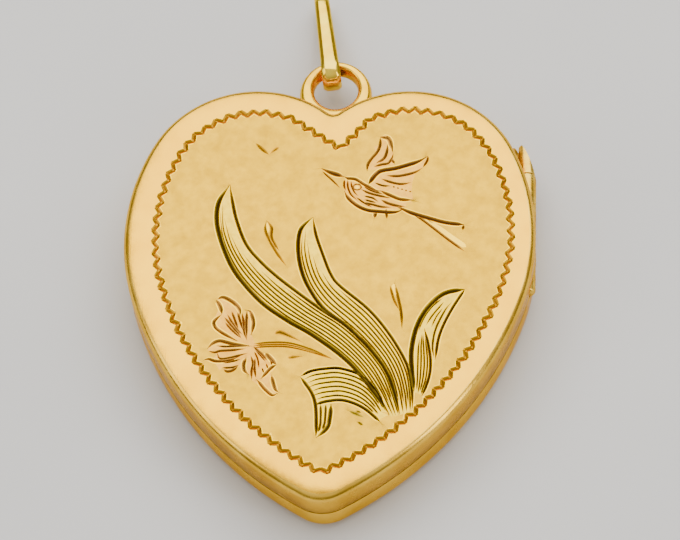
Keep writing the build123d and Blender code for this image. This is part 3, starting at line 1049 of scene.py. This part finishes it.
def filed_space():
    """Everything within reach of the hinge that is left once its upper end is filed round."""
    right, bottom = LOBE.x + FILED_RADIUS, LOBE.y - FILED_RADIUS
    outline = [(LOBE.x, bottom), (right, bottom), (right, LOBE.y)]
    outline += [tuple(LOBE + polar(FILED_RADIUS, 2 * i)) for i in range(1, 46)]
    return prism("filed", outline, 0, HEIGHT)


def build_knuckles():
    places = {"back": ["lower", "middle", "upper"], "front": ["lower", "upper"]}
    for side, start, length in knuckles():
        node = f"{side}_knuckle_{places[side].pop(0)}"
        end = start + length
        bore = PIN + PIN_CLEARANCE[side]
        nose = 0.3 if start < HINGE_BOTTOM + 1 else 0.05
        section = [(start, bore), (start, TUBE - nose)]
        for i in range(1, 7):
            turn = pi / 2 * i / 6
            section.append((start + nose * (1 - cos(turn)), TUBE - nose + nose * sin(turn)))
        section += [
            (end - 0.05, TUBE), (end - 0.015, TUBE - 0.015), (end, TUBE - 0.05), (end, bore),
        ]
        knuckle = lathe("hinge_" + node, section)
        outward(knuckle)
        if end > LOBE.y:
            carve(knuckle, filed_space(), "INTERSECT")
            if node == "back_knuckle_upper":
                bevel(knuckle, 0.06)
        finish_piece(knuckle, side, [node], [HINGE_GOLD])


def build_ring():
    """Ring with a rounded section, thicker at the cleft, trimmed to the shells."""
    hole = Vector((0, RING_HOLE_Y))
    shift = hole - Vector((0, RING_OUTER_Y))
    rings = []
    for i in range(144):
        ray = polar(1, 2.5 * i)
        along = shift.dot(ray)
        outer = -along + sqrt(along**2 - shift.length_squared + RING_OUTER**2)
        middle, half = (outer + RING_HOLE) / 2, (outer - RING_HOLE) / 2
        ring = []
        for k in range(32):
            turn = 2 * pi * k / 32
            c, s = cos(turn), sin(turn)
            c = abs(c) ** RING_SQUARENESS * (1 if c > 0 else -1)
            s = abs(s) ** RING_SQUARENESS * (1 if s > 0 else -1)
            point = hole + ray * (middle + half * c)
            ring.append((point.x, point.y, SEAM + RING_HALF_HEIGHT * s))
        rings.append(ring)
    ring = mesh_object("ring", sum(rings, []), stitch(rings, closed=True))
    outward(ring)
    carve(ring, prism("below", [tuple(p) for p in heart_ring(0.0)], -1, SEAM))
    carve(ring, prism("above", [tuple(p) for p in heart_ring(-0.06)], SEAM - 0.01, 6))
    finish_piece(ring, "back", ["bail_ring"], [RING_GOLD], sharp=45)


def bail_section(width):
    """Strap's section as (across, out) points: a flat face with wide bevels."""
    half, thick = width / 2, BAIL_HALF_THICKNESS
    return [
        (-half + 0.04, -thick), (-half, -thick + 0.05), (-half, -0.01), (-half + 0.05, 0.045),
        (-half + 0.21, thick - 0.02), (-half + 0.27, thick), (half - 0.27, thick),
        (half - 0.21, thick - 0.02), (half - 0.05, 0.045), (half, -0.01), (half, -thick + 0.05),
        (half - 0.04, -thick),
    ]


def build_bail():
    """Tapered strap bent into a long loop through the ring."""
    low, high, half = BAIL_BELOW_PIVOT, BAIL_ABOVE_PIVOT, BAIL_LEG_OFFSET
    reach = half + BAIL_HALF_THICKNESS
    path = []
    for i in range(25):
        turn = radians(-90 + 180 * i / 24)
        path.append((high - reach + half * cos(turn), half * sin(turn), cos(turn), sin(turn)))
    for i in range(1, 12):
        u = high - reach - (high + low - 2 * reach) * i / 12
        path.append((u, half, 0, 1))
    for i in range(25):
        turn = radians(90 + 180 * i / 24)
        path.append((-low + reach + half * cos(turn), half * sin(turn), cos(turn), sin(turn)))
    for i in range(1, 12):
        u = -low + reach + (high + low - 2 * reach) * i / 12
        path.append((u, -half, 0, -1))
    lean, droop = radians(BAIL_LEAN), radians(BAIL_DROOP)
    along = Vector((-sin(lean) * cos(droop), cos(lean) * cos(droop), -sin(droop)))
    across = Vector((cos(lean), sin(lean), 0))
    up = across.cross(along)
    pivot = Vector(BAIL_PIVOT)
    rings = []
    for u, v, nu, nv in path:
        width = BAIL_WIDTH_LOW + (BAIL_WIDTH_HIGH - BAIL_WIDTH_LOW) * (u + low) / (high + low)
        ring = []
        for a, t in bail_section(width):
            ring.append(pivot + along * (u + nu * t) + up * (v + nv * t) + across * a)
        rings.append(ring)
    bail = mesh_object("bail_loop", sum(rings, []), stitch(rings, closed=True))
    outward(bail)
    finish_piece(bail, "bail", ["bail"], [BAIL_HIGHLIGHT_GOLD], sharp=20)


def paint_inside():
    """Finishes of the pieces that keep their CAD shape."""
    finishes = {
        "snap_rim": INNER_GOLD, "catch_bead": INNER_GOLD, "hinge_pin": HINGE_GOLD,
        "back_frame": INNER_GOLD, "front_frame": INNER_GOLD,
        "back_glazing": CELLULOID, "front_glazing": CELLULOID,
        "back_photo": PAPER, "front_photo": PAPER,
    }
    for name, material in finishes.items():
        NODES[name].data.materials.clear()
        NODES[name].data.materials.append(material)


# ---------------------------------------------------------------- stage

def build_floor():
    floor = mesh_object("floor", [(-3, -3, 0), (3, -3, 0), (3, 3, 0), (-3, 3, 0)], [(0, 1, 2, 3)])
    material, tree, shader, coords = new_material("floor_paint")
    shader.inputs["Roughness"].default_value = 0.8
    cloud = noise(tree, coords, 40, 3.0)
    wire(tree, ramp(tree, cloud, [(0.3, (0.60, 0.595, 0.585)), (0.7, (0.64, 0.635, 0.625))]),
         shader.inputs["Base Color"])
    floor.data.materials.append(material)


def direction(azimuth, elevation):
    """Unit vector towards a place seen from the object. Azimuth 0 is in front, at -Y."""
    a, e = radians(azimuth), radians(elevation)
    return Vector((sin(a) * cos(e), -cos(a) * cos(e), sin(e)))


def softbox(name, azimuth, elevation, distance, size, power, colour):
    light = bpy.data.lights.new(name, "AREA")
    light.shape = "RECTANGLE"
    light.size, light.size_y = size
    light.energy = power
    light.color = colour
    obj = bpy.data.objects.new(name, light)
    bpy.context.scene.collection.objects.link(obj)
    toward = direction(azimuth, elevation)
    obj.location = toward * distance
    obj.rotation_euler = toward.to_track_quat("Z", "Y").to_euler()


def build_lights():
    softbox("key", 172, 60, 0.40, (0.62, 0.50), 2.9, (1.0, 0.985, 0.96))
    softbox("left_fill", -80, 34, 0.45, (0.22, 0.26), 0.36, (1.0, 0.96, 0.90))
    softbox("right_strip", 68, 24, 0.45, (0.10, 0.30), 0.42, (1.0, 0.98, 0.95))
    world = bpy.data.worlds.new("studio")
    bpy.context.scene.world = world
    world.use_nodes = True
    tree = world.node_tree
    coords = tree.nodes.new("ShaderNodeTexCoord").outputs["Generated"]
    split = tree.nodes.new("ShaderNodeSeparateXYZ")
    wire(tree, coords, split.inputs["Vector"])
    shade = ramp(tree, split.outputs["Z"], [
        (0.0, (0.22, 0.21, 0.20)), (0.35, (0.30, 0.29, 0.27)), (0.75, (0.85, 0.83, 0.80)),
    ])
    wire(tree, shade, tree.nodes["Background"].inputs["Color"])


def build_camera():
    """Camera at the photo's place: above, a little to the right, and turned about its own axis."""
    target = Vector(CAMERA_TARGET) * MM
    back = direction(CAMERA_AZIMUTH, CAMERA_ELEVATION)
    right = (-back).cross(Vector((0, 0, 1))).normalized()
    up = right.cross(-back)
    roll = radians(CAMERA_ROLL)
    turned_right = right * cos(roll) + up * sin(roll)
    turned_up = up * cos(roll) - right * sin(roll)
    camera = bpy.data.cameras.new("camera")
    camera.sensor_width = 36
    camera.lens = CAMERA_LENS
    camera.clip_start = 0.01
    obj = bpy.data.objects.new("camera", camera)
    bpy.context.scene.collection.objects.link(obj)
    axes = Matrix((turned_right, turned_up, back)).transposed().to_4x4()
    obj.matrix_world = Matrix.Translation(target + back * CAMERA_DISTANCE) @ axes
    bpy.context.scene.camera = obj


build_floor()
build_lights()
build_camera()
build_front_cover()
build_back_cover()
build_knuckles()
build_ring()
build_bail()
paint_inside()

bpy.context.view_layer.update()
